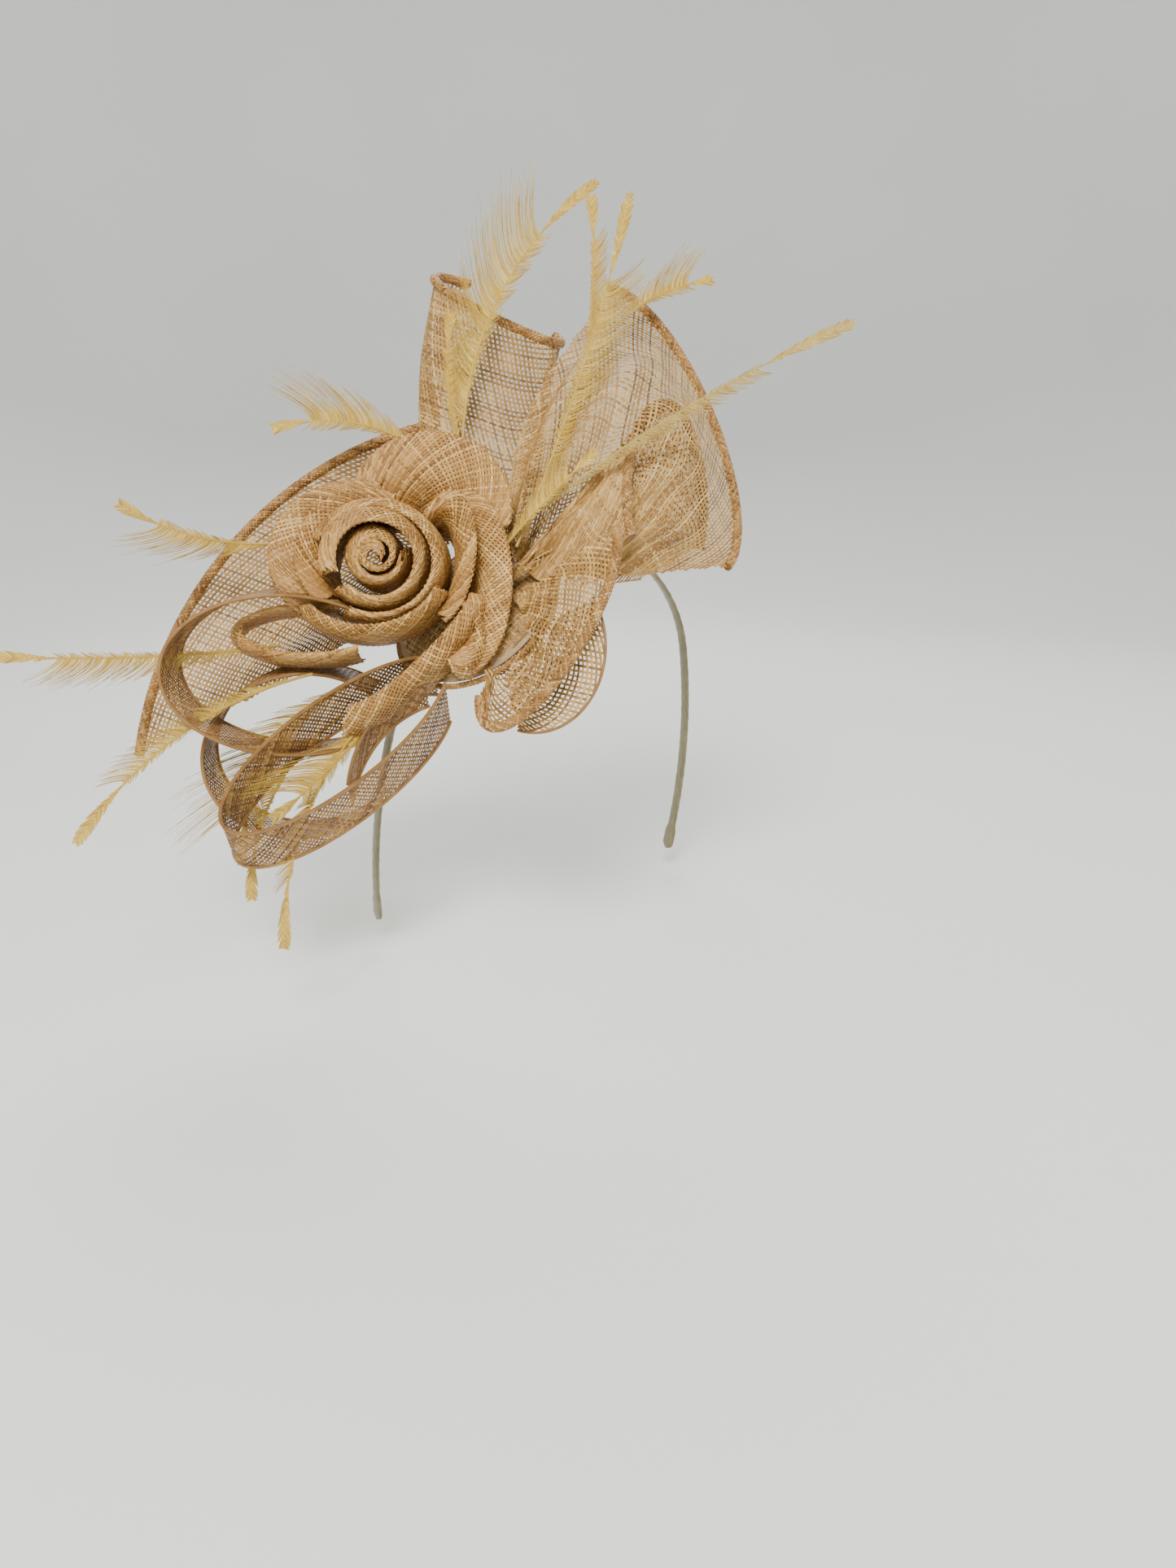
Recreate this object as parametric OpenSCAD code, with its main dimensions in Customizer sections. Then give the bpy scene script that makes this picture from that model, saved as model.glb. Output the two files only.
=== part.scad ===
// Fascinator headpiece: a narrow satin band carries a domed base on the wearer's right side.
// Ruffled open-weave cloth, strip loops, a folded rose and feathers are sewn to the base.
// The wearer faces -Y and +Z is up. The origin is the underside of the band's crown.

/* [Headband] */
// Inner radius of the band's crown
band_inner_r = 79; // [76:1:82]
// Thickness of the band, core and satin together
band_t = 2; // [1.6:0.1:2.4]
// Width of the band
band_w = 5.5; // [4:0.5:7]
// Radius of the straighter arms
arm_r = 300; // [240:10:400]
// Length of each arm below its pivot
arm_len = 104; // [95:1:108]
// Lean of the band, its tips further back than its crown
band_lean = 10; // [6:1:12]
// Width of each flared tip
tip_w = 8; // [7:0.5:9]
// Length of each flared tip
tip_len = 14; // [12:1:18]

/* [Base] */
// Radius of the domed base, measured on the flat
base_r = 35; // [31:1:36]
// Thickness of the base
base_t = 1.5; // [1:0.1:1.8]
// Radius of the bound edge of the base
binding_r = 1.2; // [1:0.1:1.3]
// Radius of the felt patch under the band
patch_r = 15; // [12:1:18]

/* [Cloth] */
// Thickness of the cloth solids
cloth_t = 1.2; // [0.8:0.1:1.4]
// Radius of the rolled and wired hem
hem_r = 2; // [1.6:0.1:2.2]
// Thickness of a folded petal
petal_t = 2; // [1.4:0.1:2.2]
// How far a petal stops short of the rose's root, as a share of its depth
petal_foot = 0.5; // [0.45:0.05:0.6]

/* [Spray] */
// Turn of the rose from straight ahead towards the wearer's right
face_turn = 35; // [30:1:40]
// Upward tilt of the rose
face_tilt = 16; // [12:1:20]
// Depth of the rose, from the dome's face to its heart
rose_depth = 62; // [56:1:64]
// Step back from one layer of petals to the next
layer_step = 4; // [3:0.5:5]

/* [Feathers] */
// Thickness of a feather's vane
vane_t = 1; // [0.8:0.1:1.2]

/* [Hidden] */

// Band: the crown's arc is centred below the origin, and the arms continue it tangentially.
band_mid_r = band_inner_r + band_t / 2;
pivot_from_top = 75;
arm_gap = 0.4;
arm_angle = arm_len / arm_r * 180 / PI;
section_round = band_t / 2;

// Base: a spherical cap concentric with the band's crown.
base_clear = 0.4;
base_inner_r = band_inner_r + band_t + base_clear;
base_half_angle = asin(base_r / base_inner_r);
base_side = 43;
base_forward = 8;
base_steps = 12;
binding_angle = base_half_angle + 1.3;
patch_t = 1;
patch_half_angle = asin(patch_r / band_inner_r);
stitch_spread = 18;
stitch_r = 0.4;
stitch_clear = 0.5;
binding_lift = 0.2;
tip_swell = 0.6;
tip_lap = 3;

// Colours.
STRAW = [0.78, 0.64, 0.42];
STRAW_DARK = [0.66, 0.52, 0.32];
OLIVE = [0.46, 0.41, 0.24];
QUILL = [0.90, 0.80, 0.52];
GOLD = [0.78, 0.64, 0.25];

// Everything sewn to the base is laid out from SEAT, the middle of the dome's outer face,
// in distances across, up and out along the way the rose faces.
function about_x(a, v) = [v[0], cos(a) * v[1] - sin(a) * v[2], sin(a) * v[1] + cos(a) * v[2]];
function about_y(a, v) = [cos(a) * v[0] + sin(a) * v[2], v[1], cos(a) * v[2] - sin(a) * v[0]];
FACE = [-sin(face_turn) * cos(face_tilt), -cos(face_turn) * cos(face_tilt), sin(face_tilt)];
ACROSS = [cos(face_turn), -sin(face_turn), 0];
UP = cross(FACE, ACROSS);
BAND_CENTRE = about_x(band_lean, [0, 0, -band_inner_r]);
SEAT = BAND_CENTRE + about_x(band_lean,
    about_y(-base_side, about_x(base_forward, [0, 0, base_inner_r + base_t])));
function place(p) = SEAT + p[0] * ACROSS + p[1] * UP + p[2] * FACE;

// An arc is [centre, radii, angles from and to, turn, nod, slant, swell]. Turn rolls its
// ellipse about the way out, nod tips it towards level, slant carries it further out from
// one end to the other and swell lifts its middle out.

// Cloth, as arcs from the gathered foot to the hem.
BRIM = [
    [[-22, -2, -10], [10, 9], [60, 200], 0, 0, 4, 0],
    [[10, -40, -24], [95, 85], [100, 176], 0, 0, 8, -4],
    [[15, -70, -16], [153, 153], [103, 178], 0, 0, 16, -8]];
LOBE_LEFT = [
    [[10, 16, -4], [12, 7], [200, -20], 0, 90, 0, 0],
    [[6, 52, -18], [24, 14], [215, -30], 0, 90, 0, 4],
    [[6, 104, -34], [29, 20], [225, -35], -8, 100, 8, 8],
    [[12, 136, -36], [31, 20], [230, -35], -26, 112, 4, 4]];
LOBE_RIGHT = [
    [[22, 8, -4], [10, 8], [160, -20], 0, 20, 0, 0],
    [[48, 46, -6], [36, 42], [145, -46], -15, 0, 8, 10],
    [[82, 80, -33], [25, 70], [80, -80], 22, 0, 16, -4]];
FOLD_RIGHT = [
    [[24, 2, 10], [8, 8], [10, 190], 0, 20, 0, 0],
    [[56, 14, 4], [16, 30], [-10, 195], 0, 0, 20, 2],
    [[84, 40, -4], [17, 42], [-20, 205], 0, 0, 40, 0]];
LOBE_LOWER = [
    [[16, -10, 12], [8, 10], [60, -115], 0, 20, 0, 0],
    [[36, -13, 25], [15, 47], [78, -125], -30, 0, 10, 4]];
LOBE_UNDER = [
    [[16, -18, 10], [8, 9], [20, -100], 0, 20, 0, 0],
    [[30, -22, 22], [28, 34], [35, -104], 0, 0, 0, 2]];

// Strip loops: the near edge, the strip's width and how far its far edge is raised.
LOOP_UPPER = [[[-66, -34, 12], [46, 31], [35, 312], 0, 0, -4, 26], 22, 6];
LOOP_BACK = [[[-64, -65, 2], [38, 33], [38, 312], 10, 0, 0, 18], 18, 6];
LOOP_LOWER = [[[-46, -60, 18], [52, 18], [20, 335], 38, 0, 20, 22], 16, -14];
LOOP_INNER = [[[0, -84, 17], [46, 50], [106, 172], 0, 0, -8, 0], 9, -9];

// The rose's root is on the dome's face, and its heart stands out from it.
function dome_out(a, b) =
    let (n = [ACROSS, UP, FACE] * (SEAT - BAND_CENTRE))
    sqrt(max(0, n[2] ^ 2 - a ^ 2 - b ^ 2 - 2 * (n[0] * a + n[1] * b))) - n[2];
ROSE_ROOT = [-25, 5, dome_out(-25, 5)];
HEART = [-31, 13, ROSE_ROOT[2] + rose_depth];
heart_r = 10;
heart_turns = 2.2;
heart_start_r = 2;
heart_start_angle = -60;
heart_steps = 36;
heart_spread = 1.5;

// A petal is an arc, with a layer counted back from the heart in place of its centre's
// distance out, then how wide its foot is as a share of its rim: above 1 in a bud, below
// 1 in a petal that has opened.
COIL_INNER = [[-32, 12, 1], [16, 15], [200, -140], 0, 8, -4, 2, 1.4];
COIL_OUTER = [[-32, 12, 2], [23, 21], [160, -120], 0, 5, 0, 2, 1.2];
LEFT_INNER = [[-36, 14, 3], [28, 25], [225, 65], 0, 0, 2, 1, 0.7];
LEFT_OUTER = [[-40, 14, 4], [35, 30], [230, 75], 0, 0, -2, 2, 0.6];
TOP_RIM = [[-12, 35, 5], [32, 29], [160, -15], 0, 0, 0, 2, 0.5];
ROLL_RIM = [[-6, 13, 3], [12, 26], [150, -70], -8, 0, 2, 2, 0.7];
RIGHT_RIM = [[2, 4, 4], [18, 36], [100, -105], 0, 0, 4, 2, 0.6];
BUD_RIM = [[0, -18, 3], [8, 13], [130, -110], 0, 0, 0, 1, 1.1];
FRONT_RIM = [[-36, 10, 2], [30, 25], [218, 338], 0, 0, 4, 2, 1.2];
FOLD_RIM = [[-60, -15, 4], [28, 10], [65, 315], 0, 0, 6, 0, 1.1];
BOTTOM_RIM = [[-20, -22, 3], [33, 7], [182, 350], 43, 0, 2, 3, 1.3];

// Feathers: foot, heading, length, bend, lift towards the tip, vane width and its side.
FEATHERS = [
    [[-78, 24, -4], 190, 60, -42, 22, 12, -1],
    [[-18, 62, 0], 146, 66, 50, -6, 18, 1],
    [[-74, -20, 8], 190, 108, -12, 32, 10, -1],
    [[-60, -32, 12], 196, 110, 46, 28, 8, 1],
    [[-46, -36, 8], 208, 90, 62, 0, 22, 1],
    [[-50, -48, 2], 216, 86, 60, 14, 5, 1],
    [[-36, -48, 12], 228, 100, 48, 20, 5, 1],
    [[-36, -50, 10], 236, 54, -16, 18, 18, 1],
    [[0, 58, 6], 92, 142, -52, -26, 22, -1],
    [[-2, 60, 0], 104, 60, -20, -4, 10, 1],
    [[22, 20, 8], 68, 162, 10, -20, 14, 1],
    [[50, 100, -14], 82, 76, 12, -4, 6, 1],
    [[66, 126, -24], 42, 46, -28, -12, 14, -1],
    [[18, 24, 8], 39, 160, -18, 20, 5, 1],
    [[16, 18, 10], 50, 54, -10, 6, 9, -1]];
feather_rings = 12;
shaft_r = 0.8;
// Above 1, a vane is widest nearer its tip than its foot.
vane_peak = 1.3;

// ---- Curves -----------------------------------------------------------------
function unit(v) = v / max(norm(v), 0.000001);
function slope(p, i) =
    i == 0 ? p[1] - p[0]
    : i == len(p) - 1 ? p[i] - p[i - 1]
    : (p[i + 1] - p[i - 1]) / 2;
function blend(a, b, sa, sb, f) =
    (2 * f ^ 3 - 3 * f ^ 2 + 1) * a + (f ^ 3 - 2 * f ^ 2 + f) * sa
    + (3 * f ^ 2 - 2 * f ^ 3) * b + (f ^ 3 - f ^ 2) * sb;
// A smooth curve through the points p, at t from 0 to 1.
function along(p, t) =
    let (n = len(p) - 1)
    let (i = min(floor(t * n), n - 1))
    blend(p[i], p[i + 1], slope(p, i), slope(p, i + 1), t * n - i);

// The place on an arc at s from 0 to 1, as across, up and out.
function on_arc(arc, s) =
    let (angle = arc[2][0] + (arc[2][1] - arc[2][0]) * s)
    let (out = arc[5] * (s - 0.5) + arc[6] * sin(180 * s))
    let (x = arc[1][0] * cos(angle))
    let (y = arc[1][1] * sin(angle) * cos(arc[4]) - out * sin(arc[4]))
    let (z = arc[1][1] * sin(angle) * sin(arc[4]) + out * cos(arc[4]))
    arc[0] + [x * cos(arc[3]) - y * sin(arc[3]), x * sin(arc[3]) + y * cos(arc[3]), z];

// ---- Grids of points, a row for each step along the edge -----------------------
// Cloth from its foot arc to its hem arc.
function cloth_grid(arcs, nu, nv) = [for (i = [0:nu])
    let (crossing = [for (arc = arcs) place(on_arc(arc, i / nu))])
    [for (j = [0:nv]) along(crossing, j / nv)]];
// A strip, from its near edge to its far one.
function strip_grid(strip, nu, nv) = [for (i = [0:nu]) [for (j = [0:nv])
    place(on_arc(strip[0], i / nu) + [0, strip[2], -strip[1]] * j / nv)]];
// A petal's wall, from its foot to its rim, curving in or out as its foot is wide or narrow.
// It doesn't reach into the dome.
function petal_grid(rim, spread, nv) = [for (p = rim) [for (j = [0:nv])
    let (deep = 1 - j / nv)
    let (share = 1 + (spread - 1) * sin(90 * deep))
    let (d = p - ROSE_ROOT)
    let (a = ROSE_ROOT[0] + share * d[0])
    let (b = ROSE_ROOT[1] + share * d[1])
    let (out = ROSE_ROOT[2] + (1 - (1 - petal_foot) * deep) * d[2])
    place([a, b, max(out, dome_out(a, b) + petal_t)])]];
function normal_in(grid, i, j) =
    let (i0 = max(i - 1, 0))
    let (i1 = min(i + 1, len(grid) - 1))
    let (j0 = max(j - 1, 0))
    let (j1 = min(j + 1, len(grid[0]) - 1))
    unit(cross(grid[i1][j] - grid[i0][j], grid[i][j1] - grid[i][j0]));

// ---- Solids -----------------------------------------------------------------
// A sheet of thickness t on a grid of points.
module sheet(grid, t) {
    nu = len(grid) - 1;
    nv = len(grid[0]) - 1;
    rows = nv + 1;
    side = (nu + 1) * rows;
    flat = [for (row = grid) each row];
    normals = [for (i = [0:nu], j = [0:nv]) normal_in(grid, i, j)];
    points = concat(flat + normals * t / 2, flat - normals * t / 2);
    front = [for (i = [0:nu - 1], j = [0:nv - 1])
        let (a = i * rows + j)
        each [[a, a + 1, a + rows + 1], [a, a + rows + 1, a + rows]]];
    back = [for (f = front) [f[0] + side, f[2] + side, f[1] + side]];
    rim = concat(
        [for (i = [0:nu]) i * rows],
        [for (j = [1:nv]) nu * rows + j],
        [for (i = [nu - 1:-1:0]) i * rows + nv],
        [for (j = [nv - 1:-1:1]) j]);
    wall = [for (k = [0:len(rim) - 1])
        let (a = rim[k])
        let (b = rim[(k + 1) % len(rim)])
        each [[a, b, b + side], [a, b + side, a + side]]];
    polyhedron(points = points, faces = concat(front, back, wall), convexity = 10);
}

// A closed tube through rings of points.
module tube(rings) {
    sides = len(rings[0]);
    last = len(rings) - 1;
    skin = [for (k = [0:last - 1], s = [0:sides - 1])
        let (a = k * sides + s)
        let (b = k * sides + (s + 1) % sides)
        each [[a, b, b + sides], [a, b + sides, a + sides]]];
    start = [for (s = [1:sides - 2]) [0, s + 1, s]];
    end = [for (s = [1:sides - 2]) [last * sides, last * sides + s, last * sides + s + 1]];
    polyhedron(points = [for (ring = rings) each ring],
        faces = concat(skin, start, end), convexity = 10);
}

// The rolled hem along the outer edge of the cloth.
module hem(arcs, steps, sides = 6) {
    grid = cloth_grid(arcs, steps, 8);
    edge = len(grid[0]) - 1;
    tube([for (k = [0:steps])
        let (n = normal_in(grid, k, edge))
        let (t = unit(grid[min(k + 1, steps)][edge] - grid[max(k - 1, 0)][edge]))
        let (b = cross(n, t))
        [for (s = [0:sides - 1])
            grid[k][edge] + hem_r * (cos(s * 360 / sides) * n + sin(s * 360 / sides) * b)]]);
}

module ruffle(arcs, nu, nv) color(STRAW) sheet(cloth_grid(arcs, nu, nv), cloth_t);
module rolled(arcs, steps) color(STRAW_DARK) hem(arcs, steps);
module strip(shape, nu) color(STRAW) sheet(strip_grid(shape, nu, 2), cloth_t);
module petal(rim, spread) color(STRAW) sheet(petal_grid(rim, spread, 5), petal_t);
// A petal's row, with its layer turned into a distance out.
function petal_arc(row) = [for (k = [0:6])
    k == 0 ? [row[0][0], row[0][1], HEART[2] - row[0][2] * layer_step] : row[k]];
module arc_petal(row, steps)
    petal([for (k = [0:steps]) on_arc(petal_arc(row), k / steps)], row[7]);

// The shaft bends evenly from its heading at the foot.
function on_shaft(shape, t) =
    let (heading = shape[1])
    let (now = heading + shape[3] * t)
    let (r = shape[2] / (shape[3] * PI / 180))
    shape[0] + [r * (sin(now) - sin(heading)), r * (cos(heading) - cos(now)), shape[4] * t];

// A feather's vane: a thin blade on one side of the shaft, widest past the middle.
module feather(number) {
    shape = FEATHERS[number - 1];
    shaft = [for (k = [0:feather_rings]) place(on_shaft(shape, k / feather_rings))];
    color(number == 14 ? GOLD : QUILL)
        tube([for (k = [0:feather_rings])
            let (dir = unit(shaft[min(k + 1, feather_rings)] - shaft[max(k - 1, 0)]))
            let (side = unit(cross(dir, FACE)) * shape[6])
            let (flat = unit(cross(side, dir)))
            let (w = shape[5] * sin(180 * (k / feather_rings) ^ vane_peak) + shaft_r)
            [shaft[k] - side * shaft_r, shaft[k] - flat * vane_t / 2,
                shaft[k] + side * w, shaft[k] + flat * vane_t / 2]]);
}

// ---- Band -------------------------------------------------------------------
module band_section() {
    square([band_t, band_w - band_t], center = true);
    for (s = [-1, 1]) {
        translate([0, s * (band_w - band_t) / 2]) circle(r = section_round, $fn = 24);
    }
}

// Places the band: its crown's underside at the origin, its tips leaning back.
module lean() rotate([band_lean, 0, 0]) children();

module arc(radius, start, sweep) {
    rotate([90, 0, 0])
        rotate([0, 0, start])
            rotate_extrude(angle = sweep, $fn = 180) translate([radius, 0]) band_section();
}

module band_crown() {
    color(OLIVE) lean() translate([0, 0, -band_inner_r])
        arc(band_mid_r, 90 - pivot_from_top, 2 * pivot_from_top);
}

// The arm's arc is centred on the line from the pivot through the crown's centre.
arm_centre_x = (arm_r - band_mid_r) * sin(pivot_from_top);
arm_centre_z = -band_inner_r - (arm_r - band_mid_r) * cos(pivot_from_top);
arm_start = 90 + pivot_from_top + arm_gap / arm_r * 180 / PI;

module arm() {
    color(OLIVE) lean() translate([arm_centre_x, 0, arm_centre_z])
        arc(arm_r, arm_start, arm_angle);
}

module tip() {
    color(OLIVE) lean() translate([arm_centre_x, 0, arm_centre_z])
        rotate([0, -(arm_start + arm_angle), 0]) translate([arm_r, 0, tip_len / 2 - tip_lap])
            rotate([0, 90, 0]) linear_extrude(height = band_t + tip_swell, center = true) {
                square([tip_len - tip_w, tip_w], center = true);
                for (s = [-1, 1]) {
                    translate([s * (tip_len - tip_w) / 2, 0]) circle(r = tip_w / 2, $fn = 48);
                }
            }
}

module band_arm_right() arm();
module band_tip_right() tip();
module band_arm_left() mirror([1, 0, 0]) arm();
module band_tip_left() mirror([1, 0, 0]) tip();

// ---- Base -------------------------------------------------------------------
module place_base() {
    lean() translate([0, 0, -band_inner_r]) rotate([base_forward, -base_side, 0]) children();
}

module cap(inner_r, t, half_angle) {
    angles = [for (k = [0:base_steps]) half_angle * k / base_steps];
    rotate_extrude($fn = 120)
        polygon(concat([for (a = angles) [inner_r * sin(a), inner_r * cos(a)]],
            [for (k = [base_steps:-1:0])
                (inner_r + t) * [sin(angles[k]), cos(angles[k])]]));
}

module base_dome() color(STRAW_DARK) place_base() cap(base_inner_r, base_t, base_half_angle);

module base_binding() {
    ring_r = base_inner_r + base_t / 2 + binding_lift;
    color(STRAW_DARK) place_base()
        rotate_extrude($fn = 120)
            translate(ring_r * [sin(binding_angle), cos(binding_angle)])
                circle(r = binding_r, $fn = 24);
}

module band_patch() {
    color(OLIVE) place_base()
        cap(band_inner_r - base_clear - patch_t, patch_t, patch_half_angle);
}

// Thread loops through the patch and the base, round the band.
module band_stitches() {
    loop_r = band_w / 2 + stitch_clear;
    mid = band_inner_r + band_t / 2;
    color(STRAW) lean() translate([0, 0, -band_inner_r])
        for (a = [-stitch_spread / 2 : stitch_spread / 3 : stitch_spread / 2]) {
            rotate([0, a - base_side, 0]) translate([0, 0, mid]) rotate([0, 90, 0])
                rotate_extrude($fn = 48) translate([loop_r, 0])
                    circle(r = stitch_r, $fn = 16);
        }
}

// ---- Ruffled cloth ----------------------------------------------------------
module brim() ruffle(BRIM, 14, 9);
module brim_hem() rolled(BRIM, 24);
module lobe_left() ruffle(LOBE_LEFT, 20, 12);
module lobe_left_hem() rolled(LOBE_LEFT, 28);
module lobe_right() ruffle(LOBE_RIGHT, 16, 15);
module lobe_right_hem() rolled(LOBE_RIGHT, 28);
module fold_right() ruffle(FOLD_RIGHT, 24, 8);
module fold_right_hem() rolled(FOLD_RIGHT, 30);
module lobe_lower() ruffle(LOBE_LOWER, 12, 6);
module lobe_lower_hem() rolled(LOBE_LOWER, 18);
module lobe_under() ruffle(LOBE_UNDER, 12, 5);

// ---- Strip loops ------------------------------------------------------------
module loop_upper() strip(LOOP_UPPER, 32);
module loop_back() strip(LOOP_BACK, 28);
module loop_lower() strip(LOOP_LOWER, 30);
module loop_inner() strip(LOOP_INNER, 12);

// ---- Rose -------------------------------------------------------------------
// The heart's rim winds outwards and back by one layer.
heart_rim = [for (k = [0:heart_steps])
    let (share = k / heart_steps)
    let (turn = heart_start_angle + 360 * heart_turns * share)
    HEART + (heart_start_r + (heart_r - heart_start_r) * share) * [cos(turn), sin(turn), 0]
        - [0, 0, layer_step * share]];

module rose_heart() petal(heart_rim, heart_spread);
module petal_coil_inner() arc_petal(COIL_INNER, 18);
module petal_coil_outer() arc_petal(COIL_OUTER, 18);
module petal_left_inner() arc_petal(LEFT_INNER, 18);
module petal_left_outer() arc_petal(LEFT_OUTER, 14);
module petal_top() arc_petal(TOP_RIM, 16);
module petal_roll() arc_petal(ROLL_RIM, 18);
module petal_right() arc_petal(RIGHT_RIM, 18);
module petal_bud() arc_petal(BUD_RIM, 12);
module petal_front() arc_petal(FRONT_RIM, 12);
module petal_fold() arc_petal(FOLD_RIM, 12);
module petal_bottom() arc_petal(BOTTOM_RIM, 14);

band_crown();
band_arm_right();
band_arm_left();
band_tip_right();
band_tip_left();
base_dome();
base_binding();
band_patch();
band_stitches();
brim();
brim_hem();
lobe_left();
lobe_left_hem();
lobe_right();
lobe_right_hem();
fold_right();
fold_right_hem();
lobe_lower();
lobe_lower_hem();
lobe_under();
loop_upper();
loop_back();
loop_lower();
loop_inner();
rose_heart();
petal_coil_inner();
petal_coil_outer();
petal_left_inner();
petal_left_outer();
petal_top();
petal_roll();
petal_right();
petal_bud();
petal_front();
petal_fold();
petal_bottom();
feather(1);  // feather_1
feather(2);  // feather_2
feather(3);  // feather_3
feather(4);  // feather_4
feather(5);  // feather_5
feather(6);  // feather_6
feather(7);  // feather_7
feather(8);  // feather_8
feather(9);  // feather_9
feather(10);  // feather_10
feather(11);  // feather_11
feather(12);  // feather_12
feather(13);  // feather_13
feather(14);  // feather_14
feather(15);  // feather_15
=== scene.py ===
import math

import bpy
import numpy as np
from mathutils import Matrix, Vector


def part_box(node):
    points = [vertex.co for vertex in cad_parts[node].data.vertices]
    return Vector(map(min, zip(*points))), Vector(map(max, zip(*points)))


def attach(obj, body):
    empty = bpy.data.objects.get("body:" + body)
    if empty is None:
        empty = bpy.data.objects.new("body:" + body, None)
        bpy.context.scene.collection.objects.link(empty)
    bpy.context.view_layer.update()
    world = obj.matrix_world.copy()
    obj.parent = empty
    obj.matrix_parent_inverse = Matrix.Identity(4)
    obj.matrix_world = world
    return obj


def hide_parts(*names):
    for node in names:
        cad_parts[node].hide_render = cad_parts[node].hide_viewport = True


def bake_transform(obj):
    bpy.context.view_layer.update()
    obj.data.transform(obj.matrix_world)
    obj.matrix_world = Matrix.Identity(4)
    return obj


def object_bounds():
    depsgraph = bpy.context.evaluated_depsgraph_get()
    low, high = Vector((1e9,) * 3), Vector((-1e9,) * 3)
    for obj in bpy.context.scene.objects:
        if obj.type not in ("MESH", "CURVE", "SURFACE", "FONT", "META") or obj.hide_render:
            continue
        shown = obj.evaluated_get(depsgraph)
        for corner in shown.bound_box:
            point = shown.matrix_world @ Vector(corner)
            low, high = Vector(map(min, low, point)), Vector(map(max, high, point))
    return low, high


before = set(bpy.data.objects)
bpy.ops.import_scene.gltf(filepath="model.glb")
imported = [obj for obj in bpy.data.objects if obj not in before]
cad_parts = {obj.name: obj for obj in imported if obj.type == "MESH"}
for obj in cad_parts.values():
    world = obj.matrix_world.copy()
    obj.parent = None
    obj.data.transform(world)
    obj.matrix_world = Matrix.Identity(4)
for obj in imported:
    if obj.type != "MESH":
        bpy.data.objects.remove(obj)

MM = 0.001
cad_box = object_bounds()

# ---- Camera, light and stage ------------------------------------------------------------
IMAGE_W, IMAGE_H = 1445, 1927
SENSOR_MM = 36.0
FOCAL_PX = 1392.0
CAMERA_AT = (-0.2844, -0.4234, 0.0383)
AZIMUTH, ELEVATION = math.radians(-35.0), math.radians(16.4)


def view_axes(azimuth, elevation):
    """The camera's right, up and back directions."""
    sa, ca = math.sin(azimuth), math.cos(azimuth)
    se, ce = math.sin(elevation), math.cos(elevation)
    return (ca, sa, 0.0), (-sa * se, ca * se, ce), (sa * ce, -ca * ce, se)


def make_camera():
    right, up, back = view_axes(AZIMUTH, ELEVATION)
    data = bpy.data.cameras.new("camera")
    data.sensor_width = SENSOR_MM
    data.lens = SENSOR_MM * FOCAL_PX / max(IMAGE_W, IMAGE_H)
    data.clip_start = 0.01
    camera = bpy.data.objects.new("camera", data)
    bpy.context.scene.collection.objects.link(camera)
    rows = [(right[i], up[i], back[i], CAMERA_AT[i]) for i in range(3)]
    camera.matrix_world = Matrix(rows + [(0.0, 0.0, 0.0, 1.0)])
    bpy.context.scene.camera = camera


def area_light(name, at, aim, size, power, colour=(1.0, 1.0, 1.0)):
    data = bpy.data.lights.new(name, "AREA")
    data.shape = "DISK"
    data.size = size
    data.energy = power
    data.color = colour
    light = bpy.data.objects.new(name, data)
    bpy.context.scene.collection.objects.link(light)
    back = np.array(at, float) - np.array(aim, float)
    back /= np.linalg.norm(back)
    right = np.cross((0.0, 0.0, 1.0), back)
    right /= np.linalg.norm(right)
    up = np.cross(back, right)
    rows = [(right[i], up[i], back[i], at[i]) for i in range(3)]
    light.matrix_world = Matrix(rows + [(0.0, 0.0, 0.0, 1.0)])


make_camera()
middle = (-0.05, 0.0, 0.0)
area_light("key", (-0.75, -0.75, 0.95), middle, 0.6, 27.0, (1.0, 0.98, 0.95))
area_light("fill", (0.95, -0.55, 0.35), middle, 0.9, 4.0, (0.95, 0.98, 1.0))
area_light("rim", (0.45, 0.85, 0.85), middle, 0.8, 12.0, (1.0, 0.99, 0.97))

# ---- Curves and surfaces ----------------------------------------------------------------


def unit(v):
    return v / np.maximum(np.linalg.norm(v, axis=-1, keepdims=True), 1e-12)


def along(points, t):
    """A smooth curve through points (n, ...), at each t from 0 to 1. part.scad has the same rule."""
    p = np.asarray(points, float)
    n = len(p) - 1
    slope = np.empty_like(p)
    slope[0], slope[-1] = p[1] - p[0], p[-1] - p[-2]
    slope[1:-1] = (p[2:] - p[:-2]) / 2
    t = np.asarray(t, float) * n
    i = np.clip(np.floor(t).astype(int), 0, n - 1)
    f = (t - i).reshape((-1,) + (1,) * (p.ndim - 1))
    return (
        (2 * f**3 - 3 * f**2 + 1) * p[i]
        + (f**3 - 2 * f**2 + f) * slope[i]
        + (3 * f**2 - 2 * f**3) * p[i + 1]
        + (f**3 - f**2) * slope[i + 1]
    )


def normals(grid):
    return unit(np.cross(np.gradient(grid, axis=0), np.gradient(grid, axis=1)))


# How far folds wander from straight, in turns, how often, and how far up the cloth they start.
FOLD_WANDER, FOLD_BENDS, FOLD_START = 0.13, 5, 0.12


def pleated(grid, count, depth, phase):
    """Folds that are deepest below the middle of the cloth and fade out before its hem."""
    nu, nv = grid.shape[:2]
    u, v = np.linspace(0, 1, nu)[:, None], np.linspace(0, 1, nv)[None, :]
    wave = np.sin(2 * math.pi * (count * u + FOLD_WANDER * np.sin(FOLD_BENDS * v) + phase))
    fade = np.sin(math.pi * np.minimum(v + FOLD_START, 1))
    return grid + normals(grid) * (depth * MM * wave * fade)[..., None]


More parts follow.
